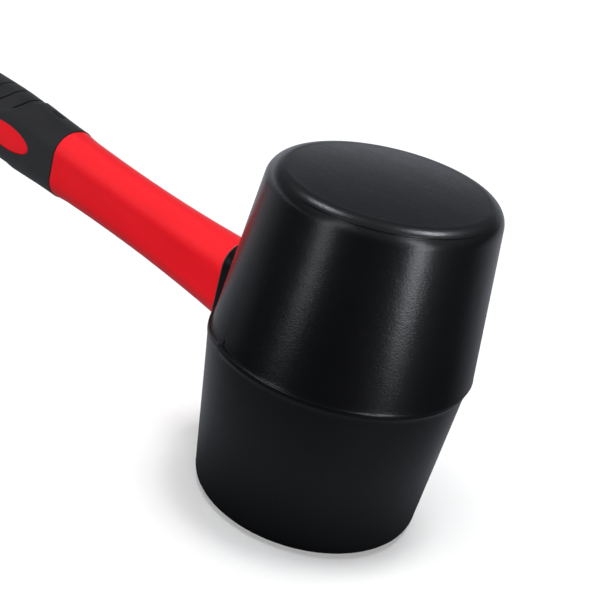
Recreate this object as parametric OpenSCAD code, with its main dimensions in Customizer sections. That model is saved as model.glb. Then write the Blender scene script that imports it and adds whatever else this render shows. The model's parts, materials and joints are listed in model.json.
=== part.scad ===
// Rubber mallet with a fibreglass-cored handle, in millimetres.
// The head stands on its lower striking face: +Z runs up the head's axis,
// the handle leaves the head along -X, and the origin is the middle of that face.

/* [Head] */
// Length of the head between its two striking faces
head_length = 119; // [90:1:150]
// Diameter of the head at the belt, halfway between the faces
belt_d = 90; // [74:1:110]
// Diameter that the taper reaches at the plane of a striking face
face_d = 78; // [62:1:90]
// Radius of the rounded edge of each striking face
face_edge_r = 5.5; // [3:0.5:9]
// Height of the rib that the mould leaves round the belt
belt_rib_h = 1.9; // [1:0.1:4]
// How far the belt rib stands out of the taper
belt_rib_proud = 0.5; // [0.3:0.1:1.5]
// Depth of the crease that the mould leaves round the upper face's edge
crease_depth = 0.3; // [0.1:0.05:0.6]

/* [Handle eye] */
// How far the mouth of the eye stands out from the belt
eye_reach = 6.1; // [3:0.1:9]
// Wall of rubber round the handle at the mouth of the eye
eye_wall = 3.5; // [2.5:0.5:6]
// Radius of the eye's rounded outer edge
eye_edge_r = 1.6; // [0.5:0.1:1.9]
// Height of the crescent lip that runs along the belt into the eye
lip_h = 2.6; // [2.5:0.1:8]
// How far the middle of the crescent lip lies below the belt
lip_drop = 3; // [0:0.1:4]
// How far the crescent lip would stand out from the belt at the handle
lip_reach = 2.6; // [1:0.1:4]
// Angle round the head, from the handle, at which the crescent lip starts
lip_angle = 76; // [50:1:85]
// How far the handle's axis lies below the belt
handle_drop = 3.8; // [0:0.1:6]

/* [Tenon and bond] */
// Length of the handle that sits inside the head
tenon_length = 66; // [45:1:72]
// Height of the tenon
tenon_h = 29; // [24:0.5:32]
// Width of the tenon
tenon_w = 19; // [15:0.5:21]
// Thickness of the adhesive round the tenon
bond_gap = 0.6; // [0.3:0.1:1]
// Number of keying grooves round the tenon
key_count = 4; // [2:1:5]
// Width of a keying groove
key_w = 4; // [2:0.5:6]
// Depth of a keying groove
key_depth = 0.8; // [0.4:0.1:1.2]

/* [Neck] */
// Height of the neck where it meets the head
neck_root_h = 30.5; // [29:0.5:36]
// Width of the neck where it meets the head
neck_root_w = 20.8; // [19:0.2:25]
// Height of the neck at its waist
neck_waist_h = 25.9; // [22:0.5:29]
// Width of the neck at its waist
neck_waist_w = 17.6; // [15.5:0.1:21]
// Distance of the waist from the head's axis
neck_waist_at = 113; // [85:1:130]
// Height of the neck where it meets the grip
neck_front_h = 27.4; // [26:0.2:28.4]
// Width of the neck where it meets the grip
neck_front_w = 18.8; // [17:0.2:19.4]
// Diameter of the fibreglass core
core_d = 11; // [7:0.5:11.5]

/* [Grip] */
// Distance of the grip's front edge from the head's axis
grip_at = 154; // [140:1:160]
// Distance of the butt's end from the head's axis
handle_end = 305; // [290:1:340]
// Thickness of the grip over the handle
grip_wall = 2.8; // [2:0.1:3.2]
// Height of the grip at its front edge
grip_front_h = 28.8; // [28:0.2:31]
// Width of the grip at its front edge
grip_front_w = 19.8; // [19.4:0.2:22]
// Height of the grip at its swell behind the front edge
grip_swell_h = 31.4; // [29:0.2:34]
// Width of the grip at its swell
grip_swell_w = 21.2; // [19.6:0.2:24]
// Distance of the swell from the grip's front edge
grip_swell_at = 41; // [30:1:50]
// Height of the grip at the finger waist
grip_waist_h = 29.8; // [28:0.2:32]
// Width of the grip at the finger waist
grip_waist_w = 20.4; // [19:0.2:23]
// Distance of the finger waist from the grip's front edge
grip_waist_at = 78; // [68:1:88]
// Height of the grip at the palm
grip_palm_h = 32.6; // [30:0.2:36]
// Width of the grip at the palm
grip_palm_w = 22; // [20:0.2:25]
// Distance of the palm swell from the grip's front edge
grip_palm_at = 112; // [100:1:120]
// Height of the flared butt
butt_h = 36; // [32:0.5:42]
// Width of the flared butt
butt_w = 22.6; // [20:0.2:26]
// Radius of the rounded edge of the butt
butt_edge_r = 5; // [2:0.5:7]
// Diameter of the hanging hole through the butt
hang_hole_d = 9; // [5:0.5:12]
// Distance of the hanging hole's middle from the butt's end
hang_hole_in = 14; // [11:0.5:18]

/* [Grip detail] */
// Length of the oval window on each side of the grip
window_length = 30; // [24:1:50]
// Height of the oval window
window_h = 10.5; // [6:0.5:11]
// Distance of the window's front tip from the grip's front edge
window_in = 16; // [10:0.5:25]
// How deep the red pad lies below the grip's surface in its window
pad_sink = 0.25; // [0.1:0.05:0.8]
// Distance of the first groove from the grip's front edge
groove_in = 29.5; // [28:0.5:40]
// Distance between neighbouring grooves
groove_pitch = 9.1; // [7:0.1:12]
// Number of grooves along the grip's top, and along its underside
groove_count = 9; // [4:1:9]
// Width of a groove
groove_w = 1.2; // [0.8:0.1:2.5]
// Depth of a groove
groove_depth = 1; // [0.5:0.1:1.4]
// Depth of the recessed panel that holds the grooves
panel_sink = 0.45; // [0.2:0.05:0.8]
// Distance of the panel's front tip from the grip's front edge
panel_in = 25.5; // [18:0.5:26]
// Length over which the panel widens from its tip to half of the grip's top
panel_tongue = 4.2; // [2:0.1:8]

/* [Hidden] */

// Facets of round solids
$fn = 96;
// Facets of a quarter round in a lofted section
arc_steps = 6;
// Facets of a rounded edge or fillet, and of each half of a face's edge
edge_steps = 8;
// Facets of a window's oval
oval_steps = 48;
// Overrun of every cut past the surface that it opens
overrun = 1;
// Space that moulding leaves between the handle, its core and its grip
mould_gap = 0.05;
// Corner radius of the handle's section, as a share of its half width
corner_share = 0.95;
// Corner radius of the eye's section, as a share of its half width
eye_corner_share = 0.63;
// Depth of the eye's root inside the head, as a share of the belt's radius
eye_root_share = 0.45;
// Angle at which the eye's fillet leaves the head's surface
eye_fillet_angle = 14;
// Width of the crease round the upper face's edge
crease_w = 0.6;
// Angle of the crease round that edge, from the side towards the face
crease_angle = 43;
// Taper at the tip of the tenon
tenon_chamfer = 1.5;
// Slope of a keying groove's walls, as a share of its width
key_slope_share = 0.2;
// Slope of a grip groove's walls, as a share of its width
groove_slope_share = 0.3;
// Length over which the grip's panel sinks to its depth
panel_slope = 2;
// How fast the panel's tongue widens: 1 makes it a hyperbola, more draws its tip out
panel_curve = 1.25;
// Angle round the grip over which the panel sinks to its depth
panel_fade_angle = 15;
// Length of the small rise of the neck against the grip
neck_rise_length = 8;
// Height of that rise on each side
neck_rise = 0.3;
// Spacing of the lofted sections
section_step = 8;
// Rubber left between the hanging hole and the handle's end inside the grip
hang_wall = 4;
// How far the core stops short of the handle's inner end
core_short = 9;

belt_r = belt_d / 2;
rib_r = belt_r + belt_rib_proud;
half_length = head_length / 2;
axis_z = half_length - handle_drop;
// Mouth of the eye, inner end of the tenon and end of the handle inside the grip
mouth_at = belt_r + eye_reach;
tenon_end = mouth_at - tenon_length;
hang_at = handle_end - hang_hole_in;
shell_end = hang_at - hang_hole_d / 2 - hang_wall;
core_end = shell_end - core_short;
// The eye's fillet takes up the eye's height below its rounded edge
eye_fillet = eye_reach - eye_edge_r;

// Smooth step from 0 to 1 as t goes from 0 to 1
function ease(t) = let (u = max(0, min(1, t))) u * u * (3 - 2 * u);
function mix(a, b, t) = a + (b - a) * t;
// Evenly spaced places from a to b, with the spacing at most step
function spaced(a, b, step) =
    let (n = max(1, ceil((b - a) / step))) [for (i = [0:n]) mix(a, b, i / n)];

// The taper's radius at a height above or below the belt
function taper_r(z) = mix(belt_r, face_d / 2, abs(z) / half_length);

// The handle's section is a rounded rectangle: [half height, half width] at x along the handle
function neck_size(x) =
    let (before = x < neck_waist_at)
    let (far = before ? neck_waist_at - mouth_at : grip_at - neck_waist_at)
    let (t = pow((x - neck_waist_at) / far, 2))
    let (rise = neck_rise * ease(1 - (grip_at - x) / neck_rise_length))
    [mix(neck_waist_h, before ? neck_root_h : neck_front_h, t) / 2 + rise,
     mix(neck_waist_w, before ? neck_root_w : neck_front_w, t) / 2 + rise];

// Stations of the grip from its front edge: [distance, height, width]
grip_stations = [
    [0, grip_front_h, grip_front_w],
    [grip_swell_at, grip_swell_h, grip_swell_w],
    [grip_waist_at, grip_waist_h, grip_waist_w],
    [grip_palm_at, grip_palm_h, grip_palm_w],
    [handle_end - butt_edge_r - grip_at, butt_h, butt_w]
];

// The grip's half height and half width, eased from one station to the next
function grip_size(x) =
    let (d = x - grip_at)
    let (past = [for (i = [0:len(grip_stations) - 1]) if (grip_stations[i][0] <= d) i])
    let (i = min(len(past) == 0 ? 0 : max(past), len(grip_stations) - 2))
    let (a = grip_stations[i])
    let (b = grip_stations[i + 1])
    let (t = ease((d - a[0]) / (b[0] - a[0])))
    [mix(a[1], b[1], t) / 2, mix(a[2], b[2], t) / 2];

// The size of the handle under the grip, which keeps the grip's wall all round
function shell_size(x) = grip_size(x) - [grip_wall, grip_wall];

// A ring of points round a rounded rectangle at x. The bite is taken off along the normal inside the panel
function ring(x, size, r, bite = 0) =
    [for (q = [0:3]) for (i = [0:arc_steps])
        let (angle = 90 * (q + i / arc_steps))
        let (side = [q == 0 || q == 3 ? 1 : -1, q < 2 ? 1 : -1])
        let (reach = r - bite * panel_share(x, angle))
        [x, side[0] * (size[1] - r) + reach * cos(angle), side[1] * (size[0] - r) + reach * sin(angle)]];

// One section across the handle at x
function section(x, size, bite = 0) = ring(x, size, min(size[0], size[1]) * corner_share, bite);

// Angle above the grip's side of the panel's edge at x: a tongue on top that widens towards the butt
function panel_edge(x) = 90 / (1 + pow(max(0, x - grip_at - panel_in) / panel_tongue, panel_curve));

// How much of the panel's or a groove's depth is left at x, at an angle round the section
function panel_share(x, angle) = ease((asin(abs(sin(angle))) - panel_edge(x)) / panel_fade_angle);

// A closed solid through a row of sections, which may turn back inside to make a hollow
module loft(sections) {
    n = len(sections[0]);
    last = len(sections) - 1;
    sides = [for (i = [0:last - 1]) for (j = [0:n - 1])
        let (k = (j + 1) % n)
        each [[i * n + j, (i + 1) * n + j, (i + 1) * n + k], [i * n + j, (i + 1) * n + k, i * n + k]]];
    caps = [[for (j = [0:n - 1]) j], [for (j = [n - 1:-1:0]) last * n + j]];
    polyhedron(points = [for (s = sections) each s], faces = concat(caps, sides), convexity = 6);
}

// Puts what is drawn along +X on the handle's axis, pointing away from the head
module along_handle() {
    translate([0, 0, axis_z]) rotate([0, 0, 180]) children();
}

// A box with rounded corners in its section, running along +X from a to b
module rounded_bar(a, b, size, r) {
    translate([a, 0, 0]) rotate([90, 0, 90]) linear_extrude(b - a) {
        square([2 * size[1], 2 * (size[0] - r)], center = true);
        square([2 * (size[1] - r), 2 * size[0]], center = true);
        for (y = [-1, 1]) for (z = [-1, 1]) translate([y * (size[1] - r), z * (size[0] - r)]) circle(r);
    }
}

// Half of the head's outline above the belt: rib, taper and the face's rounded edge with its crease
function half_outline(crease) =
    let (taper = atan((belt_r - face_d / 2) / half_length))
    let (arc_z = half_length - face_edge_r)
    let (arc_x = taper_r(arc_z + face_edge_r * sin(taper)) - face_edge_r * cos(taper))
    let (half_crease = crease_w / (2 * face_edge_r) * 180 / PI)
    let (steps = [for (i = [0:edge_steps]) i / edge_steps])
    let (below = [for (t = steps) [mix(taper, crease_angle - half_crease, t), 0]])
    let (above = [for (t = steps) [mix(crease_angle + half_crease, 90, t), 0]])
    [[rib_r, 0], [rib_r, belt_rib_h / 2], [taper_r(belt_rib_h / 2), belt_rib_h / 2],
     for (at = concat(below, [[crease_angle, crease]], above)) let (r = face_edge_r - at[1])
        [arc_x + r * cos(at[0]), arc_z + r * sin(at[0])],
     [0, half_length]];

// The double taper of the head, standing on its lower face
module head_body() {
    upper = half_outline(crease_depth);
    plain = half_outline(0);
    lower = [for (i = [len(plain) - 1:-1:1]) [plain[i][0], -plain[i][1]]];
    translate([0, 0, half_length]) rotate_extrude() polygon(concat(lower, upper));
}

// A crescent lip that swells out of the taper towards the handle: a round-edged disc set off centre
module crescent_lip() {
    start_r = taper_r(lip_drop);
    out = belt_r + lip_reach;
    shift = (out * out - start_r * start_r) / (2 * (out - start_r * cos(lip_angle)));
    disc_r = out - shift;
    edge = lip_h / 2;
    translate([-shift, 0, half_length - lip_drop]) rotate_extrude() {
        translate([0, -edge]) square([disc_r - edge, lip_h]);
        intersection() {
            translate([disc_r - edge, 0]) circle(edge);
            translate([disc_r - edge, -edge]) square([edge, lip_h]);
        }
    }
}

// A ring of points round the handle's axis, moved along the handle to a height over the head's surface
function on_head(points, lift) =
    [for (p = points) [sqrt(pow(taper_r(p[2] - handle_drop), 2) - p[1] * p[1]) + lift, p[1], p[2]]];

// The raised eye round the handle, with a fillet on the head and a rounded edge at its mouth
module eye_boss() {
    size = [tenon_h / 2 + bond_gap + eye_wall, tenon_w / 2 + bond_gap + eye_wall];
    r = size[1] * eye_corner_share;
    root = ring(belt_r * eye_root_share, size, r);
    fillet = [for (i = [0:edge_steps]) let (angle = mix(eye_fillet_angle, 90, i / edge_steps))
        let (grow = eye_fillet * (1 - sin(angle)))
        on_head(ring(0, size + [grow, grow], r + grow), eye_fillet * (1 - cos(angle)))];
    foot = on_head(fillet[0], -overrun);
    edge = [for (i = [0:edge_steps]) let (angle = 90 * i / edge_steps)
        let (cut = eye_edge_r * (1 - cos(angle)))
        ring(mouth_at - eye_edge_r * (1 - sin(angle)), size - [cut, cut], r - cut)];
    along_handle() loft(concat([root, foot], fillet, edge));
}

// The blind hole in the head that holds the tenon and its adhesive
module socket(past_mouth) {
    size = [tenon_h / 2 + bond_gap, tenon_w / 2 + bond_gap];
    along_handle()
        rounded_bar(tenon_end - bond_gap, mouth_at + past_mouth, size, size[1] * corner_share);
}

// The solid handle from the tip of its tenon to its end inside the grip
module handle_blank() {
    full = [tenon_h / 2, tenon_w / 2];
    keyed = full - [key_depth, key_depth];
    slope = key_w * key_slope_share;
    pitch = tenon_length / (key_count + 1);
    tip = full - [tenon_chamfer, tenon_chamfer];
    tenon = [
        section(tenon_end, tip),
        section(tenon_end + tenon_chamfer, full),
        for (i = [1:key_count]) let (mid = tenon_end + i * pitch)
            each [section(mid - key_w / 2, full), section(mid - key_w / 2 + slope, keyed),
                  section(mid + key_w / 2 - slope, keyed), section(mid + key_w / 2, full)],
        section(mouth_at, full)
    ];
    neck = [for (x = spaced(mouth_at, grip_at, section_step)) section(x, neck_size(x))];
    inner = [for (x = spaced(grip_at, shell_end, section_step)) section(x, shell_size(x))];
    along_handle() loft(concat(tenon, neck, inner));
}

// The outline of both oval windows, made smaller by a gap all round
module window_bar(gap) {
    half_w = max([for (s = grip_stations) s[2]]) / 2 + overrun;
    along_handle() translate([grip_at + window_in + window_length / 2, half_w, 0])
        rotate([90, 0, 0]) linear_extrude(2 * half_w)
            polygon([for (i = [0:oval_steps - 1]) let (angle = 360 * i / oval_steps)
                [(window_length / 2 - gap) * cos(angle), (window_h / 2 - gap) * sin(angle)]]);
}

// The raised pads that fill the windows, following the grip's surface a little below it
module window_pads() {
    first = grip_at + window_in - overrun;
    intersection() {
        window_bar(mould_gap);
        along_handle() loft([for (x = spaced(first, first + window_length + 2 * overrun, section_step))
            section(x, grip_size(x) - [pad_sink, pad_sink])]);
    }
}

// One-piece rubber head: both striking faces, the belt, the lip and the eye with its blind socket
module rubber_head() {
    color("#1b1b1c") difference() {
        union() {
            head_body();
            crescent_lip();
            eye_boss();
        }
        socket(overrun);
    }
}

// Adhesive that fills the socket round the tenon and its keying grooves
module socket_adhesive() {
    color("#d8c48a") difference() {
        socket(0);
        handle_blank();
    }
}

// Red handle moulded over the core, from the tenon to its end inside the grip
module handle_shell() {
    color("#e0182a") difference() {
        union() {
            handle_blank();
            window_pads();
        }
        along_handle() translate([tenon_end - overrun, 0, 0]) rotate([0, 90, 0])
            cylinder(d = core_d + 2 * mould_gap, h = core_end + mould_gap - tenon_end + overrun);
    }
}

// Solid glass-fibre rod, flush with the tip of the tenon
module fibreglass_core() {
    color("#d9cfa3") along_handle() translate([tenon_end, 0, 0]) rotate([0, 90, 0])
        cylinder(d = core_d, h = core_end - tenon_end);
}

// The grip's outer sections from its front edge to the butt, grooves and panel included
function grip_outside() =
    let (first = grip_at + groove_in)
    let (last = first + (groove_count - 1) * groove_pitch)
    let (slope = groove_w * groove_slope_share)
    let (half = groove_w / 2)
    let (panel = grip_at + panel_in)
    let (front = concat(spaced(grip_at + mould_gap, panel, section_step),
                        spaced(panel, first - half, panel_slope)))
    let (back = spaced(last + half, handle_end - butt_edge_r, section_step))
    concat(
        [for (x = front) section(x, grip_size(x), panel_sink * ease((x - panel) / panel_slope))],
        [for (i = [0:groove_count - 1]) let (mid = first + i * groove_pitch)
            each [section(mid - half, grip_size(mid - half), panel_sink),
                  section(mid - half + slope, grip_size(mid), panel_sink + groove_depth),
                  section(mid + half - slope, grip_size(mid), panel_sink + groove_depth),
                  section(mid + half, grip_size(mid + half), panel_sink)]],
        [for (x = back)
            section(x, grip_size(x), panel_sink * ease((hang_at - hang_hole_d - x) / panel_slope))],
        [for (i = [1:edge_steps]) let (angle = 90 * i / edge_steps)
            let (cut = butt_edge_r * (1 - cos(angle)))
            section(handle_end - butt_edge_r * (1 - sin(angle)), [butt_h / 2 - cut, butt_w / 2 - cut])]);

// Soft grip moulded over the handle, with a window on each side and a hanging hole in the butt
module grip_sleeve() {
    hollow = [for (x = [for (p = spaced(-shell_end - mould_gap, -grip_at - mould_gap, section_step)) -p])
        section(x, shell_size(x) + [mould_gap, mould_gap])];
    color("#2a2b2c") difference() {
        along_handle() loft(concat(hollow, grip_outside()));
        window_bar(0);
        along_handle() translate([hang_at, butt_w / 2 + overrun, 0]) rotate([90, 0, 0])
            cylinder(d = hang_hole_d, h = butt_w + 2 * overrun);
    }
}

rubber_head();
socket_adhesive();
handle_shell();
fibreglass_core();
grip_sleeve();
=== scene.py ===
import json
import math

import bpy
import numpy as np
from mathutils import Matrix, Vector


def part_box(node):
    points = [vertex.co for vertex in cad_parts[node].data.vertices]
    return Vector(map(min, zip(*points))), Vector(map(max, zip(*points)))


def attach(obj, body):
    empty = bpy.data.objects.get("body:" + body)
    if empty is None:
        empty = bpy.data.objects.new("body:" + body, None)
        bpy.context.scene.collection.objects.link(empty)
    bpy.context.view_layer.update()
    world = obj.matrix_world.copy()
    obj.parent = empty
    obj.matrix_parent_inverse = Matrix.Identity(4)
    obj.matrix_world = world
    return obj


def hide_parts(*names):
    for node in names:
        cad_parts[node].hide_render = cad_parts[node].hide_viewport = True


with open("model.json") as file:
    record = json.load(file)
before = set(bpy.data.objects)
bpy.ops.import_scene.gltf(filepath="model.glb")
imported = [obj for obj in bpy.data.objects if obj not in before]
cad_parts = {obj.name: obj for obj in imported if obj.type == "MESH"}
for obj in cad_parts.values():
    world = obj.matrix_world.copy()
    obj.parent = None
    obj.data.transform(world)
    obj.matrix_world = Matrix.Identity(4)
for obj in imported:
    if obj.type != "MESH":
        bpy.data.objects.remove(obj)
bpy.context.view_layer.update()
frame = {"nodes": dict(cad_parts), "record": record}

# Looks of a rubber mallet, in metres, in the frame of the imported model:
# +Z runs up the head's axis, the handle leaves along -X, and the lower face stands on the floor.
MM = 0.001

# Sizes that the frame gives
head_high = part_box("rubber_head")[1]
mouth_at = -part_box("rubber_head")[0].x
shell_low, shell_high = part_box("handle_shell")
core_low, core_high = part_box("fibreglass_core")
grip_low, grip_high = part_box("grip_sleeve")
hang_mount = {mount["name"]: mount for mount in frame["record"]["mounts"]}["hanging_hole"]

# Head: double taper with rounded face edges, a belt rib and a crease round the upper edge
belt_z = 59.5 * MM
upper_length = 60.6 * MM
rib_r = head_high.x
rib_proud = 0.5 * MM
rib_h = 1.9 * MM
rib_round = 0.25 * MM
rib_foot = 0.2 * MM
belt_r = rib_r - rib_proud
face_r = 39 * MM
upper_in = 0.1 * MM
lower_edge_r = 5 * MM
upper_edge_r = 6.3 * MM
crown = 1.1 * MM
crease_angle = math.radians(47)
crease_w = 0.25 * MM
crease_depth = 0.3 * MM
crease_runout = 3 * MM
crease_middle = math.radians(133)
crease_reach = math.radians(68)
crease_fade = math.radians(40)
ledge_drop = 0.06 * MM
ledge_fillet = 0.07 * MM
ledge_fillet_h = 0.4 * MM
flare_h = 40 * MM
flare_fade = math.radians(25)
# The upper face slopes down towards the handle
slope_share = 0.034
# The two halves of the mould don't quite meet, so the lower half leans a little to one side
mould_shift = Vector((-1.01, -0.85)) * MM

# The belt dips towards the handle, where the rib is a flatter roll, and a nick marks each end of the dip
axis_z = (core_low.z + core_high.z) / 2
dip_depth = 3.2 * MM
dip_curve = 4.5
dip_fade = 16 * MM
roll_share = 0.3
notch_angle = math.radians(71)
notch_w = 0.32 * MM
notch_depth = 0.9 * MM
notch_above = 2.6 * MM
notch_below = 1.4 * MM

# Eye round the handle and the socket behind it
socket_h = 15.1 * MM
socket_w = 10.1 * MM
socket_deep = 0.6 * MM
eye_wall = 3.5 * MM
eye_corner_share = 0.63
eye_edge_r = 1.6 * MM
eye_fillet = 3.4 * MM
eye_fillet_from = math.radians(14)
eye_sink = 1 * MM
eye_root = 25 * MM

# Handle: tenon with keying grooves, waisted neck and the part under the grip
tenon_end = -shell_high.x
tenon_h = 14.5 * MM
tenon_w = 9.5 * MM
tenon_chamfer = 1.5 * MM
key_count = 4
key_w = 4 * MM
key_depth = 0.8 * MM
key_slope = 0.8 * MM
core_r = (core_high.z - core_low.z) / 2
core_end = -core_low.x
mould_gap = 0.05 * MM
corner_share = 0.95
neck_root = np.array((30.5, 20.8)) / 2 * MM
neck_waist = np.array((25.9, 17.6)) / 2 * MM
neck_front = np.array((27.4, 18.8)) / 2 * MM
neck_waist_at = 113 * MM
neck_rise = 0.3 * MM
neck_rise_length = 8 * MM
root_edge = 0.35 * MM
shell_end = -shell_low.x

# Grip: stations from its front edge as distance, half height and half width
grip_at = -grip_high.x
handle_end = -grip_low.x
grip_wall = 2.8 * MM
butt_edge_r = 5 * MM
butt_size = np.array((grip_high.z - grip_low.z, grip_high.y - grip_low.y)) / 2
grip_stations = [
    (0, 14.4 * MM, 9.9 * MM),
    (41 * MM, 15.7 * MM, 10.6 * MM),
    (78 * MM, 14.9 * MM, 10.2 * MM),
    (112 * MM, 16.3 * MM, 11 * MM),
    (handle_end - butt_edge_r - grip_at, butt_size[0], butt_size[1]),
]
grip_edge_r = 0.45 * MM

# Oval window on each side of the grip, and the red pad in it
window_length = 30 * MM
window_h = 10.5 * MM
window_in = 16 * MM
window_edge = 0.2 * MM
pad_sink = 0.2 * MM
pad_round = 0.4 * MM
pad_dome = 0.15 * MM

# Recessed panel with grooves on the grip's top and underside
panel_in = 25.5 * MM
panel_at = grip_at + panel_in
panel_sink = 0.5 * MM
panel_slope = 0.8 * MM
panel_tongue = 4.2 * MM
panel_curve = 1.25
panel_back = 28 * MM
groove_in = 29.5 * MM
groove_first = grip_at + groove_in
groove_pitch = 9.1 * MM
groove_count = 9
groove_w = 0.75 * MM
groove_depth = 0.9 * MM
groove_end = math.radians(5)
# Below this angle the grooves lean back towards the butt, by this much over the fall
lean_from = math.radians(63)
lean_fall = math.radians(27)
lean_back = 2.6 * MM
lean_curve = 1.5
# Small slot that the moulding leaves on top of the grip
slot_in = 12 * MM
slot_at = grip_at + slot_in
slot_length = 5.5 * MM
slot_w = 1.5 * MM
slot_depth = 1.3 * MM
slot_y = 1.8 * MM

# Hanging hole through the butt
hang_at = -hang_mount["pos_m"][0]
hang_r = hang_mount["dims"]["r_mm"] * MM
hang_round = 1 * MM

# Spacing of the meshes
head_columns = 360
# Columns are closer together within this many widths of a nick
notch_columns = 31
notch_widths = 3
head_step = 1.6 * MM
fine_step = 0.3 * MM
arc_steps = 14
rib_foot_steps = 8
rib_steps = 4
crease_steps = 98
handle_step = 1.5 * MM
grip_step = 0.5 * MM
groove_step = 0.14 * MM
oval_points = 120
hole_points = 96
overrun = 1 * MM
# Edges sharper than this many degrees stay sharp in the shading
sharp_angle = 40


def ease(t):
    """Smooth step from 0 to 1 as t goes from 0 to 1."""
    u = np.clip(t, 0, 1)
    return u * u * (3 - 2 * u)


def mix(a, b, t):
    return a + (b - a) * t


def quarter(r, steps, first=0.0):
    """Steps round a rounded edge: how far past its start, and how far short of the full size."""
    return [(r * (1 - math.cos(a)), r * (1 - math.sin(a))) for a in np.linspace(first, math.pi / 2, steps)]


def spaced(a, b, step):
    """Evenly spaced places from a to b, with the spacing at most step."""
    return np.linspace(a, b, max(2, math.ceil(abs(b - a) / step) + 1))


# Meshes

def skin(name, rings):
    """A closed mesh through a row of rings of equally many points, with a flat cap at both ends."""
    rings = np.asarray(rings, float)
    rows, count = rings.shape[:2]
    turn = np.arange(count)
    following = np.roll(turn, -1)
    faces = []
    for row in range(rows - 1):
        here = row * count
        there = here + count
        quads = np.stack([here + turn, here + following, there + following, there + turn], axis=1)
        faces.extend(quads.tolist())
    faces.append(turn[::-1].tolist())
    faces.append((turn + (rows - 1) * count).tolist())
    mesh = bpy.data.meshes.new(name)
    mesh.from_pydata(rings.reshape(-1, 3).tolist(), [], faces)
    mesh.validate()
    piece = bpy.data.objects.new(name, mesh)
    bpy.context.scene.collection.objects.link(piece)
    face_outwards(mesh)
    return piece


def face_outwards(mesh):
    """Turns a closed mesh's faces so that its volume is positive."""
    mesh.calc_loop_triangles()
    corners = np.array([[mesh.vertices[i].co for i in t.vertices] for t in mesh.loop_triangles])
    volume = np.einsum("ij,ij->i", corners[:, 0], np.cross(corners[:, 1], corners[:, 2])).sum()
    if volume < 0:
        mesh.flip_normals()


def combine(piece, tool, operation):
    """Joins the tool to the piece or cuts it out, and removes the tool."""
    boolean = piece.modifiers.new(operation, "BOOLEAN")
    boolean.operation = operation
    boolean.solver = "MANIFOLD"
    boolean.object = tool
    graph = bpy.context.evaluated_depsgraph_get()
    made = bpy.data.meshes.new_from_object(piece.evaluated_get(graph))
    piece.modifiers.remove(boolean)
    piece.data = made
    bpy.data.objects.remove(tool)


def smooth(piece):
    """Smooth shading, apart from sharp edges."""
    piece.data.shade_smooth()
    piece.data.set_sharp_from_angle(angle=math.radians(sharp_angle))


# Sections across the handle

def loop_template(arc, top, side):
    """Round a rounded rectangle: the corner's sign across and up, and the normal across and up."""
    rows = []
    corners = [(1, 1), (-1, 1), (-1, -1), (1, -1)]
    flats = [top, side, top, side]
    for i, (across, up) in enumerate(corners):
        for angle in np.linspace(i * 90, i * 90 + 90, arc + 1):
            a = math.radians(angle)
            rows.append((across, up, math.cos(a), math.sin(a)))
        next_across, next_up = corners[(i + 1) % 4]
        for t in np.linspace(0, 1, flats[i] + 1)[1:-1]:
            rows.append((mix(across, next_across, t), mix(up, next_up, t), rows[-1][2], rows[-1][3]))
    return np.array(rows)


def section(d, size, template, corner, bite=0.0):
    """A ring at distance d along the handle, with bite taken off along the normal."""
    half_h, half_w = size
    y = template[:, 0] * (half_w - corner) + (corner - bite) * template[:, 2]
    z = template[:, 1] * (half_h - corner) + (corner - bite) * template[:, 3]
    return np.stack([np.full(len(template), -d), y, axis_z + z], axis=1)


def handle_section(d, size, template, bite=0.0):
    return section(d, size, template, min(size) * corner_share, bite)


def neck_size(d):
    """Half height and half width of the neck."""
    before = d < neck_waist_at
    far = neck_waist_at - mouth_at if before else grip_at - neck_waist_at
    t = ((d - neck_waist_at) / far) ** 2
    rise = neck_rise * ease(1 - (grip_at - d) / neck_rise_length)
    return mix(neck_waist, neck_root if before else neck_front, t) + rise


def grip_size(d):
    """Half height and half width of the grip, eased from one station to the next."""
    along = d - grip_at
    size = np.array(grip_stations[0][1:])
    for a, b in zip(grip_stations, grip_stations[1:]):
        if along >= a[0]:
            t = ease((along - a[0]) / (b[0] - a[0]))
            size = mix(np.array(a[1:]), np.array(b[1:]), t)
    return size


def grip_side(d, z):
    """How far the grip's side stands out across the handle, at a height from the handle's axis."""
    half_h, half_w = grip_size(d)
    corner = min(half_h, half_w) * corner_share
    over = max(0.0, abs(z) - (half_h - corner))
    return half_w - corner + math.sqrt(max(0.0, corner * corner - over * over))


# Head

taper = math.atan((belt_r - face_r) / belt_z)


def taper_r(z):
    """Radius of the taper at a height from the belt."""
    return mix(belt_r, face_r, np.abs(z) / belt_z)


def edge_rows(length, edge_r, steps, cut):
    """Rows of a rounded edge from the taper to the flat face: radius, height, and the cut off each."""
    arc_z = length - edge_r
    arc_x = taper_r(arc_z + edge_r * math.sin(taper)) - edge_r * math.cos(taper)
    rows = []
    for a in np.linspace(taper, math.pi / 2, steps + 1):
        across, up = math.cos(a), math.sin(a)
        rows.append((arc_x + edge_r * across, arc_z + edge_r * up, cut(a) * across, cut(a) * up))
    return rows


def crease(a):
    """How far the edge steps back below the crease, at an angle from the side towards the face."""
    below = (math.pi / 2 - crease_angle - a) * upper_edge_r
    return crease_depth * ease(below / crease_w) * ease(1 - below / crease_runout)


def face_rows(length, flat_r, rise):
    """Rows across a face from its edge to its middle, in the same form as an edge's, with no cut."""
    shares = (0.97, 0.92, 0.84, 0.74, 0.62, 0.48, 0.34, 0.2, 0.07)
    return [(flat_r * share, length + rise * (1 - share * share), 0, 0) for share in shares]


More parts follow.
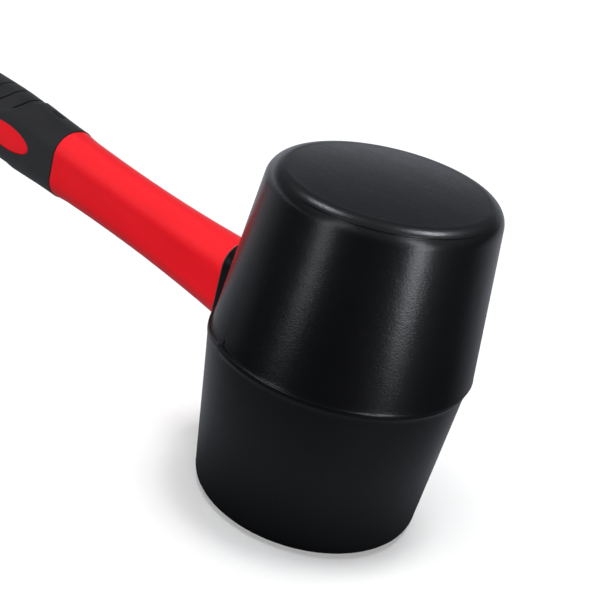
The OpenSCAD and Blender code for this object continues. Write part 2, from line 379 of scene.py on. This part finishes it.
def lower_rows():
    """Rows of the lower half from the middle of its face up to the top of the rib: radius, height, rib."""
    edge = edge_rows(belt_z, lower_edge_r, arc_steps, lambda a: 0)
    face = face_rows(belt_z, edge[-1][0], 0)
    rows = [(row[0], -row[1], 0) for row in face[::-1] + edge[::-1]]
    foot = -rib_h / 2 - rib_foot
    for z in spaced(rows[-1][1], foot, head_step)[1:]:
        rows.append((taper_r(z), z, 0))
    for t in np.linspace(0, 1, rib_foot_steps + 1)[1:]:
        z = foot + 2 * rib_foot * t
        rows.append((taper_r(z), z, (rib_r - taper_r(z)) * ease(t)))
    for z in np.linspace(foot + 2 * rib_foot, rib_h / 2 - rib_round, rib_steps + 1)[1:]:
        rows.append((taper_r(z), z, rib_r - taper_r(z)))
    for cut, short in quarter(rib_round, steps=rib_steps + 1)[1:]:
        z = rib_h / 2 - short
        rows.append((taper_r(z), z, rib_r - cut - taper_r(z)))
    return rows


def upper_rows():
    """Rows of the upper half from the ledge to the middle of its face: radius, height, crease's cut."""
    edge = edge_rows(upper_length, upper_edge_r, crease_steps, crease)
    ledge = rib_h / 2 + ledge_drop
    rows = []
    for z in spaced(ledge, ledge + ledge_fillet_h, fine_step)[:-1]:
        left = 1 - (z - ledge) / ledge_fillet_h
        rows.append((taper_r(z) + ledge_fillet * left * left, z, 0, 0))
    for z in spaced(ledge + ledge_fillet_h, edge[0][1], head_step)[:-1]:
        rows.append((taper_r(z), z, 0, 0))
    rows = rows + edge + face_rows(upper_length, edge[-1][0], crown)
    return [(r - upper_in * min(1, r / face_r), z, back, down) for r, z, back, down in rows]


def head_angles():
    """Angles round the head from the handle, closer together at the two nicks in the rib."""
    even = np.linspace(-math.pi, math.pi, head_columns, endpoint=False)
    close = np.linspace(-1, 1, notch_columns) * notch_w * notch_widths / belt_r
    near_notch = np.abs(np.abs(even) - notch_angle) < close[-1]
    return np.sort(np.concatenate([even[~near_notch], notch_angle + close, -notch_angle + close]))


def shift_at(z):
    """How far the lower half is off the head's axis at a height from the belt."""
    return mould_shift * float(np.clip(1 + z / belt_z, 0, 1)) if z < 0 else mould_shift


def flare(z, angles):
    """How far the upper half's foot flares out past the nicks to meet the shifted lower half."""
    out = -mould_shift.x * np.cos(angles) - mould_shift.y * np.sin(angles)
    left = max(0, 1 - z / flare_h)
    return np.maximum(0, out) * ease((np.abs(angles) - notch_angle) / flare_fade) * left


def shifted_r(radius, z, angles):
    """Distance from the head's axis to a circle about the lower half's axis."""
    shift = shift_at(z)
    along = -shift.x * np.cos(angles) - shift.y * np.sin(angles)
    across = shift.x * np.sin(angles) - shift.y * np.cos(angles)
    return along + np.sqrt(np.maximum(radius * radius - across * across, 0))


def dip_at(z, angles):
    """How far the belt's surroundings dip towards the handle, at a height from the belt."""
    out = np.clip(np.abs(angles) / notch_angle, 0, 1) ** dip_curve
    return dip_depth * (1 - out) * max(0, 1 - abs(z) / dip_fade)


def crease_share(angles):
    """How much of the crease is left round the upper edge: all on one side, none on the other."""
    off = np.abs((angles - crease_middle + math.pi) % (2 * math.pi) - math.pi)
    return ease((crease_reach - off) / crease_fade)


def past_notch(angles):
    """Distance round the belt from the nick, away from the handle, in widths of the nick."""
    return (np.abs(angles) - notch_angle) * belt_r / notch_w


def notch(z, angles):
    """Depth of the nick where the roll's end and the rib meet, at a height from the belt."""
    off = past_notch(angles)
    tall = ease((z + notch_below) / notch_below) * ease((notch_above - z) / notch_above)
    return notch_depth * np.exp(-off * off) * tall


def head_ring(radius, z, angles):
    """Points at heights from the belt and angles from the handle, with the upper half sloping."""
    x = -radius * np.cos(angles)
    y = -radius * np.sin(angles)
    return np.stack([x, y, belt_z + z + slope_share * x * np.maximum(0, z / upper_length)], axis=1)


def head_shape():
    """The head without its eye."""
    angles = head_angles()
    slope = math.tan(taper)
    rib_share = mix(roll_share, 1, ease(past_notch(angles) + 0.5))
    rings = []
    for radius, z, rib in lower_rows():
        dip = dip_at(z, angles)
        r = shifted_r(radius - slope * dip + rib * rib_share, z, angles)
        rings.append(head_ring(r - notch(z, angles), z - dip, angles))
    for radius, z, back, down in upper_rows():
        dip = dip_at(z, angles)
        share = crease_share(angles)
        r = radius + slope * dip + flare(z, angles) - back * share - notch(z, angles)
        rings.append(head_ring(r, z - dip - down * share, angles))
    return skin("head_moulding", rings)


def head_side(y, z):
    """Distance along the handle of the head's surface, at a place across and up."""
    low = z < belt_z
    shift = shift_at(z - belt_z) if low else Vector((0, 0))
    radius = taper_r(z - belt_z) - (0 if low else upper_in)
    return np.sqrt(radius * radius - (y - shift.y) ** 2) - shift.x


def eye_shape():
    """The raised eye with its fillet on the head and a rounded edge at its mouth."""
    template = loop_template(arc=12, top=10, side=14)
    half = np.array((socket_h, socket_w)) + eye_wall
    corner = half[1] * eye_corner_share
    rings = [section(eye_root, half, template, corner)]

    def on_head(grow, lift):
        ring = section(0, half + grow, template, corner + grow)
        ring[:, 0] = [-head_side(y, z) - lift for _, y, z in ring]
        return ring

    fillet = quarter(eye_fillet, steps=9, first=eye_fillet_from)
    rings.append(on_head(fillet[0][1], -eye_sink))
    for lift, grow in fillet:
        rings.append(on_head(grow, lift))
    for cut, short in quarter(eye_edge_r, steps=9):
        rings.append(section(mouth_at - short, half - cut, template, corner - cut))
    return skin("eye", rings)


def socket_shape():
    """The blind hole that holds the tenon."""
    template = loop_template(arc=16, top=3, side=8)
    ends = (tenon_end - socket_deep, mouth_at + overrun)
    return skin("socket", [handle_section(d, (socket_h, socket_w), template) for d in ends])


def make_head():
    head = head_shape()
    combine(head, eye_shape(), "UNION")
    combine(head, socket_shape(), "DIFFERENCE")
    smooth(head)
    return head


# Handle

def oval(grow, lift, side):
    """A ring round a window, grown by a length and lifted off the grip's side by another."""
    middle = grip_at + window_in + window_length / 2
    points = []
    for angle in np.linspace(0, 2 * math.pi, oval_points, endpoint=False):
        d = middle + (window_length / 2 + grow) * math.cos(angle)
        z = (window_h / 2 + grow) * math.sin(angle)
        points.append((-d, side * (grip_side(d, z) + lift), axis_z + z))
    return points


def pad_shape(side):
    """A red pad that fills a window, a little below the grip, with a rounded edge and a slight dome."""
    rings = [oval(-mould_gap, -grip_wall - pad_round, side)]
    for inward, drop in quarter(pad_round, steps=7):
        rings.append(oval(-mould_gap - inward, -pad_sink - drop, side))
    half = window_h / 2
    shares = (0.85, 0.7, 0.55, 0.4, 0.25, 0.12, 0.03)
    for share in shares:
        rings.append(oval(-half * (1 - share), -pad_sink + pad_dome * (1 - share * share), side))
    return skin("pad", rings)


def make_handle():
    template = loop_template(arc=24, top=3, side=10)
    bore = core_r + mould_gap
    full = np.array((tenon_h, tenon_w))
    pitch = (mouth_at - tenon_end) / (key_count + 1)
    rings = [section(d, (bore, bore), template, bore) for d in (core_end + mould_gap, tenon_end)]
    rings.append(handle_section(tenon_end, full - tenon_chamfer, template))
    rings.append(handle_section(tenon_end + tenon_chamfer, full, template))
    for i in range(key_count):
        middle = tenon_end + (i + 1) * pitch
        steps = (-key_w / 2, key_slope - key_w / 2, key_w / 2 - key_slope, key_w / 2)
        for step, cut in zip(steps, (0, key_depth, key_depth, 0)):
            rings.append(handle_section(middle + step, full - cut, template))
    rings.append(handle_section(mouth_at, full, template))
    for past, cut in quarter(root_edge, steps=5):
        rings.append(handle_section(mouth_at + past, neck_root - cut, template))
    for d in spaced(mouth_at + root_edge, grip_at, handle_step)[1:]:
        rings.append(handle_section(d, neck_size(d), template))
    for d in spaced(grip_at, shell_end, handle_step):
        rings.append(handle_section(d, grip_size(d) - grip_wall, template))
    handle = skin("handle_moulding", rings)
    for side in (-1, 1):
        combine(handle, pad_shape(side), "UNION")
    smooth(handle)
    return handle


# Grip

def panel_share(d, rise):
    """How far a point lies inside the recessed panel: a tongue on top that widens backwards."""
    if d <= panel_at:
        return np.zeros(len(rise))
    edge = math.pi / 2 / (1 + ((d - panel_at) / panel_tongue) ** panel_curve)
    corner = grip_size(d)[1]
    inside = (rise - edge) * corner
    back = (handle_end - panel_back - d) / panel_slope
    front = (d - panel_at) / panel_slope
    return ease(inside / panel_slope + 0.5) * ease(back) * ease(front)


def grip_bite(d, template):
    """What the panel, grooves and slot take off the grip at a distance along the handle."""
    rise = np.arcsin(np.clip(np.abs(template[:, 3]), 0, 1))
    bite = panel_sink * panel_share(d, rise)
    lean = lean_back * (np.maximum(0, lean_from - rise) / lean_fall) ** lean_curve
    for i in range(groove_count):
        off = np.abs(d - lean - groove_first - i * groove_pitch) / (groove_w / 2)
        deep = ease(2 - 2 * off) * panel_share(d, rise - groove_end)
        bite = bite + groove_depth * deep
    half_w = grip_size(d)[1]
    y = template[:, 0] * half_w * (1 - corner_share) + half_w * corner_share * template[:, 2]
    along = ease(1.5 - abs(d - slot_at - slot_length / 2) / (slot_length / 2))
    across = ease(1.5 - np.abs(y - slot_y) / (slot_w / 2))
    return bite + slot_depth * along * across * (template[:, 3] > 0)


def window_cutter(side):
    """What cuts a window: the oval through the grip's wall, with a slightly rounded edge."""
    rings = [oval(0, -2 * grip_wall, side)]
    for grow, drop in quarter(window_edge, steps=5):
        rings.append(oval(grow, -drop, side))
    rings.append(oval(window_edge + overrun, overrun, side))
    return skin("window", rings)


def hole_cutter():
    """What cuts the hanging hole, flared to round its two edges."""
    half_w = grip_size(hang_at)[1]
    rows = [(half_w + overrun, hang_round + overrun)]
    for grow, short in quarter(hang_round, steps=7)[::-1]:
        rows.append((half_w - short, grow))
    rows = rows + [(-y, grow) for y, grow in rows[::-1]]
    turn = np.linspace(0, 2 * math.pi, hole_points, endpoint=False)
    rings = []
    for y, grow in rows:
        x = -hang_at + (hang_r + grow) * np.cos(turn)
        z = axis_z + (hang_r + grow) * np.sin(turn)
        rings.append(np.stack([x, np.full(len(turn), y), z], axis=1))
    return skin("hole", rings)


def grip_places(first, last):
    """Places of the grip's sections, closer together along each groove."""
    places = list(spaced(first, last, grip_step)[1:])
    for i in range(groove_count):
        front = groove_first + i * groove_pitch - groove_w
        back = front + lean_back + 2 * groove_w
        places = [d for d in places if d < front or d > back] + list(spaced(front, back, groove_step))
    return sorted(places)


def make_grip():
    template = loop_template(arc=30, top=5, side=14)
    rings = []
    for d in spaced(shell_end + mould_gap, grip_at, handle_step):
        rings.append(handle_section(d, grip_size(d) - grip_wall + mould_gap, template))
    front = grip_size(grip_at)
    for past, cut in quarter(grip_edge_r, steps=6):
        rings.append(handle_section(grip_at + past, front - cut, template))
    butt_at = handle_end - butt_edge_r
    for d in grip_places(grip_at + grip_edge_r, butt_at):
        rings.append(handle_section(d, grip_size(d), template, grip_bite(d, template)))
    for cut, short in quarter(butt_edge_r, steps=arc_steps)[1:]:
        rings.append(handle_section(handle_end - short, butt_size - cut, template))
    grip = skin("grip_moulding", rings)
    for side in (-1, 1):
        combine(grip, window_cutter(side), "DIFFERENCE")
    combine(grip, hole_cutter(), "DIFFERENCE")
    smooth(grip)
    return grip


# Materials

# Most of a noise's values lie in this range
noise_range = (0.3, 0.7)


def add_node(tree, kind, inputs, **settings):
    """A node with its settings, and each input set to a value or linked to a socket."""
    made = tree.nodes.new(kind)
    for name, value in settings.items():
        setattr(made, name, value)
    for name, value in inputs.items():
        if isinstance(value, bpy.types.NodeSocket):
            tree.links.new(value, made.inputs[name])
        else:
            made.inputs[name].default_value = value
    return made


def new_material(name):
    """A material, its node tree, its shader and the object's own coordinates."""
    material = bpy.data.materials.new(name)
    material.use_nodes = True
    tree = material.node_tree
    place = add_node(tree, "ShaderNodeTexCoord", {}).outputs["Object"]
    return material, tree, tree.nodes["Principled BSDF"], place


def stretched(tree, place, scale, turn=0.0):
    """Coordinates turned about Z and scaled apart along each axis."""
    inputs = {"Vector": place, "Rotation": (0, 0, turn), "Scale": scale}
    return add_node(tree, "ShaderNodeMapping", inputs, vector_type="POINT").outputs["Vector"]


def noise(tree, place, size, detail=2.0, rough=0.5):
    """Noise whose grains are about as wide as size."""
    inputs = {"Vector": place, "Scale": 1 / size, "Detail": detail, "Roughness": rough}
    return add_node(tree, "ShaderNodeTexNoise", inputs).outputs["Fac"]


def ranged(tree, value, low, high, to_low, to_high):
    """A value mapped from one range to another."""
    inputs = {"Value": value, "From Min": low, "From Max": high, "To Min": to_low, "To Max": to_high}
    return add_node(tree, "ShaderNodeMapRange", inputs).outputs["Result"]


def paint(tree, shader, value, dark, light):
    """Colours a surface from dark to light over a noise's usual range."""
    made = add_node(tree, "ShaderNodeValToRGB", {"Fac": value})
    for element, at, colour in zip(made.color_ramp.elements, noise_range, (dark, light)):
        element.position = at
        element.color = (*colour, 1)
    tree.links.new(made.outputs["Color"], shader.inputs["Base Color"])


def varied(tree, value, low, high):
    """A number that goes from low to high over a noise's usual range."""
    return ranged(tree, value, *noise_range, low, high)


def combined(tree, operation, a, b):
    return add_node(tree, "ShaderNodeMath", {0: a, 1: b}, operation=operation).outputs["Value"]


def facing(tree, direction, azimuth):
    """How far a direction points to an azimuth: 1 straight at it, -1 straight away from it."""
    inputs = {0: direction, 1: tuple(polar(1, azimuth, 0))}
    return add_node(tree, "ShaderNodeVectorMath", inputs, operation="DOT_PRODUCT").outputs["Value"]


def polar(distance, azimuth, height):
    """A point at an azimuth from +X round the head's axis."""
    a = math.radians(azimuth)
    return Vector((distance * math.cos(a), distance * math.sin(a), height))


def bumped(tree, height, depth, strength, normal=None):
    """A bump whose full height is depth, over another if one is given."""
    inputs = {"Height": height, "Distance": depth, "Strength": strength}
    if normal is not None:
        inputs["Normal"] = normal
    return add_node(tree, "ShaderNodeBump", inputs).outputs["Normal"]


def head_rubber():
    """Black moulded rubber: a satin skin over a dull body, with a fine leathery grain and tiny pits."""
    grain_size = 0.8 * MM
    grain_depth = 0.14 * MM
    wave_size = 7 * MM
    wave_depth = 0.25 * MM
    wave_turn = math.radians(-40)
    cloud_size = 16 * MM
    pit_size = 0.7 * MM
    pit_depth = 0.06 * MM
    pit_range = (0.7, 0.8)
    material, tree, shader, place = new_material("head_rubber")
    grain = noise(tree, stretched(tree, place, (0.75, 0.75, 1.6)), grain_size, detail=3, rough=0.6)
    waves = noise(tree, stretched(tree, place, (0.5, 1, 1), wave_turn), wave_size, detail=2)
    cloud = noise(tree, place, cloud_size, detail=3)
    pits = ranged(tree, noise(tree, place, pit_size, detail=1), *pit_range, 1, 0)
    paint(tree, shader, cloud, (0.0012, 0.0012, 0.0015), (0.0018, 0.0018, 0.0022))
    roughness = combined(tree, "ADD", varied(tree, cloud, 0.46, 0.52), varied(tree, grain, 0, 0.06))
    tree.links.new(roughness, shader.inputs["Roughness"])
    uneven = bumped(tree, waves, wave_depth, strength=0.25)
    leather = bumped(tree, grain, grain_depth, strength=0.34, normal=uneven)
    pitted = bumped(tree, pits, pit_depth, strength=0.4, normal=leather)
    tree.links.new(pitted, shader.inputs["Normal"])
    tree.links.new(pitted, shader.inputs["Coat Normal"])
    shader.inputs["Specular IOR Level"].default_value = 0.12
    shader.inputs["Coat Weight"].default_value = 0.65
    shader.inputs["Coat Roughness"].default_value = 0.25
    return material


def red_plastic():
    """Bright red moulded plastic: satin, with a faint flow pattern along the handle."""
    flow_size = 9 * MM
    peel_size = 0.9 * MM
    peel_depth = 0.04 * MM
    material, tree, shader, place = new_material("red_plastic")
    flow = noise(tree, stretched(tree, place, (0.25, 1, 1)), flow_size, detail=3)
    peel = noise(tree, place, peel_size, detail=2)
    paint(tree, shader, flow, (0.74, 0.0075, 0.0145), (0.8, 0.0085, 0.0165))
    tree.links.new(varied(tree, flow, 0.36, 0.44), shader.inputs["Roughness"])
    tree.links.new(bumped(tree, peel, peel_depth, strength=0.35), shader.inputs["Normal"])
    shader.inputs["Specular IOR Level"].default_value = 0.12
    return material


def grip_rubber():
    """Soft black grip rubber: dull, with a fine spark-eroded grain and lighter rubbed patches."""
    grain_size = 0.5 * MM
    grain_depth = 0.06 * MM
    cloud_size = 12 * MM
    material, tree, shader, place = new_material("grip_rubber")
    grain = noise(tree, place, grain_size, detail=3, rough=0.65)
    cloud = noise(tree, place, cloud_size, detail=3)
    paint(tree, shader, cloud, (0.0105, 0.0105, 0.0112), (0.0135, 0.0135, 0.0144))
    tree.links.new(varied(tree, cloud, 0.5, 0.6), shader.inputs["Roughness"])
    tree.links.new(bumped(tree, grain, grain_depth, strength=0.4), shader.inputs["Normal"])
    shader.inputs["Specular IOR Level"].default_value = 0.55
    return material


def glass_fibre():
    """Resin-bound glass rod: pale strands along its length."""
    strand_size = 0.7 * MM
    strand_depth = 0.1 * MM
    material, tree, shader, place = new_material("glass_fibre")
    strands = noise(tree, stretched(tree, place, (0.02, 1, 1)), strand_size, detail=4)
    paint(tree, shader, strands, (0.46, 0.38, 0.2), (0.72, 0.66, 0.46))
    tree.links.new(varied(tree, strands, 0.3, 0.5), shader.inputs["Roughness"])
    tree.links.new(bumped(tree, strands, strand_depth, strength=0.5), shader.inputs["Normal"])
    return material


def adhesive():
    """Amber epoxy with a cloudy body and trapped bubbles."""
    cloud_size = 5 * MM
    bubble_size = 1.2 * MM
    bubble_depth = 0.2 * MM
    material, tree, shader, place = new_material("adhesive")
    cloud = noise(tree, place, cloud_size, detail=4)
    bubbles = noise(tree, place, bubble_size, detail=1)
    paint(tree, shader, cloud, (0.5, 0.36, 0.12), (0.68, 0.54, 0.26))
    tree.links.new(varied(tree, cloud, 0.2, 0.4), shader.inputs["Roughness"])
    tree.links.new(bumped(tree, bubbles, bubble_depth, strength=0.3), shader.inputs["Normal"])
    return material


def white_floor():
    material, _, shader, _ = new_material("white_floor")
    shader.inputs["Base Color"].default_value = (0.7, 0.7, 0.7, 1)
    shader.inputs["Roughness"].default_value = 1
    shader.inputs["Specular IOR Level"].default_value = 0
    return material


def dark_card():
    """A black card that glows faintly in a ring round the object and far off, and more behind it."""
    material, tree, shader, place = new_material("dark_card")
    distance = add_node(tree, "ShaderNodeVectorMath", {0: place}, operation="LENGTH").outputs["Value"]
    rising = ranged(tree, distance, glow_from, glow_peak, 0, glow_level)
    falling = ranged(tree, distance, glow_peak, glow_to, 1, 0)
    ring = combined(tree, "MULTIPLY", rising, falling)
    far = ranged(tree, distance, far_from, far_to, 0, far_level)
    outward = add_node(tree, "ShaderNodeVectorMath", {0: place}, operation="NORMALIZE").outputs["Vector"]
    towards = ranged(tree, facing(tree, outward, card_azimuth), card_back_from, 1, 0, card_back_level)
    away = ranged(tree, distance, 0, card_back_reach, card_near_share, 1)
    behind = combined(tree, "MULTIPLY", towards, away)
    glow = combined(tree, "ADD", combined(tree, "ADD", ring, far), behind)
    tree.links.new(glow, shader.inputs["Emission Strength"])
    shader.inputs["Emission Color"].default_value = (*dome_tint, 1)
    shader.inputs["Base Color"].default_value = (0.004, 0.004, 0.004, 1)
    shader.inputs["Roughness"].default_value = 1
    shader.inputs["Specular IOR Level"].default_value = 0
    return material


# Stage

camera_at = Vector((0.288205, -0.373844, 0.300665))
camera_turn = math.radians(39.823)
camera_rise = math.radians(25.894)
camera_roll = math.radians(14.648)
camera_lens = 94.62
camera_sensor = 36
camera_near = 10 * MM
floor_reach = 30
# Tints of the dome and the card's glow, and of the panels
dome_tint = (0.86, 0.9, 1)
panel_tint = (0.9, 0.94, 1)
# Dome: a dim room, a little light from above, and a backdrop behind the object, bright above the horizon.
# Heights on it are the upward part of a direction, and the azimuths go from +X, in degrees.
room_level = 0.02
zenith_level = 0.2
backdrop_level = 1.95
backdrop_azimuth = 170
backdrop_from = 0.1
backdrop_foot = 0.1
backdrop_low = 0.1
backdrop_high = 0.27
# Lights on the floor alone and on the handle alone, as the level that a white surface facing them would have
floor_light_level = 0.5
floor_light_spread = 50
floor_shade_level = 0.31
floor_shade_spread = 18
right_shade_lean = 0.24
left_shade_lean = 0.17
side_shade_azimuth = 70.6
front_shade_lean = 0.09
front_shade_azimuth = 100
handle_light_level = 1.45
handle_light_from = Vector((-0.42, -0.5, 0.76))
handle_light_spread = 120
# Black card under the floor, which stands in for the floor in what the object reflects
card_drop = 1 * MM
glow_from = 35 * MM
glow_peak = 75 * MM
glow_to = 170 * MM
glow_level = 0.3
far_from = 180 * MM
far_to = 280 * MM
far_level = 0.06
card_azimuth = 136
card_back_from = 0.05
card_back_level = 0.76
card_back_reach = 300 * MM
card_near_share = 0.08
# Two tall strips beside the camera draw the streaks on the head, and two small panels the lights on its rim
strip_distance = 270 * MM
strip_z = 265 * MM
strip_w = 55 * MM
strip_h = 470 * MM
strip_right_azimuth = -11
strip_right_power = 0.75
strip_left_azimuth = -93
strip_left_power = 0.3
rim_target = Vector((20, -20, 120)) * MM
rim_distance = 400 * MM
rim_size = 100 * MM
rim_right_from = Vector((0.18, 0.4, 0.89))
rim_right_power = 0.7
rim_left_from = Vector((-0.51, -0.08, 0.85))
rim_left_power = 0.4


def add_camera():
    """The camera at the photograph's place and angle."""
    back = Vector((math.sin(camera_turn) * math.cos(camera_rise),
                   -math.cos(camera_turn) * math.cos(camera_rise), math.sin(camera_rise)))
    level = Vector((math.cos(camera_turn), math.sin(camera_turn), 0))
    upright = back.cross(level)
    right = math.cos(camera_roll) * level + math.sin(camera_roll) * upright
    up = math.cos(camera_roll) * upright - math.sin(camera_roll) * level
    camera = bpy.data.objects.new("camera", bpy.data.cameras.new("camera"))
    bpy.context.scene.collection.objects.link(camera)
    camera.data.lens = camera_lens
    camera.data.sensor_width = camera_sensor
    camera.data.sensor_fit = "HORIZONTAL"
    camera.data.clip_start = camera_near
    turn = Matrix((right, up, back)).transposed()
    camera.matrix_world = Matrix.Translation(camera_at) @ turn.to_4x4()
    bpy.context.scene.camera = camera


def add_level(name, z, material):
    """A wide level surface at a height."""
    far = floor_reach
    corners = [(-far, -far, z), (far, -far, z), (far, far, z), (-far, far, z)]
    mesh = bpy.data.meshes.new(name)
    mesh.from_pydata(corners, [], [(0, 1, 2, 3)])
    mesh.materials.append(material)
    surface = bpy.data.objects.new(name, mesh)
    bpy.context.scene.collection.objects.link(surface)
    return surface


def add_floor():
    """A pale floor that the camera sees, and a dark card under it that the object's surfaces see instead."""
    floor = add_level("floor", 0, white_floor())
    floor.visible_diffuse = False
    floor.visible_glossy = False
    card = add_level("flag", -card_drop, dark_card())
    card.visible_camera = False
    card.visible_shadow = False
    return floor


def add_panel(name, place, target, width, height, power, lit):
    """A softbox that faces a target and lights some objects alone."""
    data = bpy.data.lights.new(name, "AREA")
    data.shape = "RECTANGLE"
    data.size = width
    data.size_y = height
    data.energy = power
    data.color = panel_tint
    lamp = bpy.data.objects.new(name, data)
    bpy.context.scene.collection.objects.link(lamp)
    lamp.location = place
    lamp.rotation_euler = (place - target).to_track_quat("Z", "Y").to_euler()
    lamp.visible_camera = False
    lamp.light_linking.receiver_collection = collection_of(name + "_lit", lit)


def add_dome():
    """Light from all round: a dim room, a soft glow from above and a bright backdrop behind the object."""
    world = bpy.data.worlds.new("dome")
    bpy.context.scene.world = world
    world.use_nodes = True
    tree = world.node_tree
    direction = add_node(tree, "ShaderNodeTexCoord", {}).outputs["Generated"]
    rise = add_node(tree, "ShaderNodeSeparateXYZ", {"Vector": direction}).outputs["Z"]
    overhead = ranged(tree, rise, 0, 1, room_level, room_level + zenith_level)
    reach = ranged(tree, facing(tree, direction, backdrop_azimuth), backdrop_from, 1, 0, 1)
    height = ranged(tree, rise, backdrop_low, backdrop_high, backdrop_level, 0)
    foot = ranged(tree, rise, 0, backdrop_foot, 0, 1)
    backdrop = combined(tree, "MULTIPLY", combined(tree, "MULTIPLY", reach, foot), height)
    background = tree.nodes["Background"]
    tree.links.new(combined(tree, "ADD", overhead, backdrop), background.inputs["Strength"])
    background.inputs["Color"].default_value = (*dome_tint, 1)


def add_broad_light(name, toward, level, degrees, lit, shading):
    """A broad soft light from far away that lights some objects alone and that some objects shade."""
    data = bpy.data.lights.new(name, "SUN")
    data.energy = level * math.pi
    data.angle = math.radians(degrees)
    lamp = bpy.data.objects.new(name, data)
    bpy.context.scene.collection.objects.link(lamp)
    lamp.rotation_euler = toward.to_track_quat("Z", "Y").to_euler()
    lamp.light_linking.receiver_collection = collection_of(name + "_lit", lit)
    lamp.light_linking.blocker_collection = collection_of(name + "_shading", shading)
    lamp.visible_glossy = False


def collection_of(name, members):
    """A collection that says what a lamp lights or what shades it."""
    made = bpy.data.collections.new(name)
    for member in members:
        made.objects.link(member)
    return made


add_camera()
floor = add_floor()

pieces = {
    "head_rubber": (make_head(), "rubber_head", head_rubber()),
    "red_plastic": (make_handle(), "handle_shell", red_plastic()),
    "grip_rubber": (make_grip(), "grip_sleeve", grip_rubber()),
}
for slot, (piece, node, material) in pieces.items():
    piece.data.materials.clear()
    piece.data.materials.append(material)
    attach(piece, "root")
    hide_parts(node)
for node, material in (("socket_adhesive", adhesive()), ("fibreglass_core", glass_fibre())):
    inner = frame["nodes"][node]
    inner.data.materials.clear()
    inner.data.materials.append(material)

pieces_made = [piece for piece, _, _ in pieces.values()]
head, handle, grip = pieces_made
add_dome()
shades = {
    "shade_right": polar(-right_shade_lean, side_shade_azimuth, 1),
    "shade_left": polar(left_shade_lean, side_shade_azimuth, 1),
    "shade_front": polar(front_shade_lean, front_shade_azimuth, 1),
}
strips = {
    "strip_right": (strip_right_azimuth, strip_right_power),
    "strip_left": (strip_left_azimuth, strip_left_power),
}
rim_lights = {
    "rim_right": (rim_right_from, rim_right_power),
    "rim_left": (rim_left_from, rim_left_power),
}
add_broad_light("floor_light", Vector((0, 0, 1)), floor_light_level, floor_light_spread, [floor], [floor])
for name, toward in shades.items():
    add_broad_light(name, toward, floor_shade_level, floor_shade_spread, [floor], [head])
add_broad_light("handle_light", handle_light_from, handle_light_level, handle_light_spread,
                [handle, grip], pieces_made)
for name, (azimuth, power) in strips.items():
    place = polar(strip_distance, azimuth, strip_z)
    add_panel(name, place, polar(0, azimuth, strip_z), strip_w, strip_h, power, [head])
for name, (toward, power) in rim_lights.items():
    add_panel(name, rim_target + rim_distance * toward, rim_target, rim_size, rim_size, power, [head])
bpy.context.scene.view_settings.view_transform = "Standard"
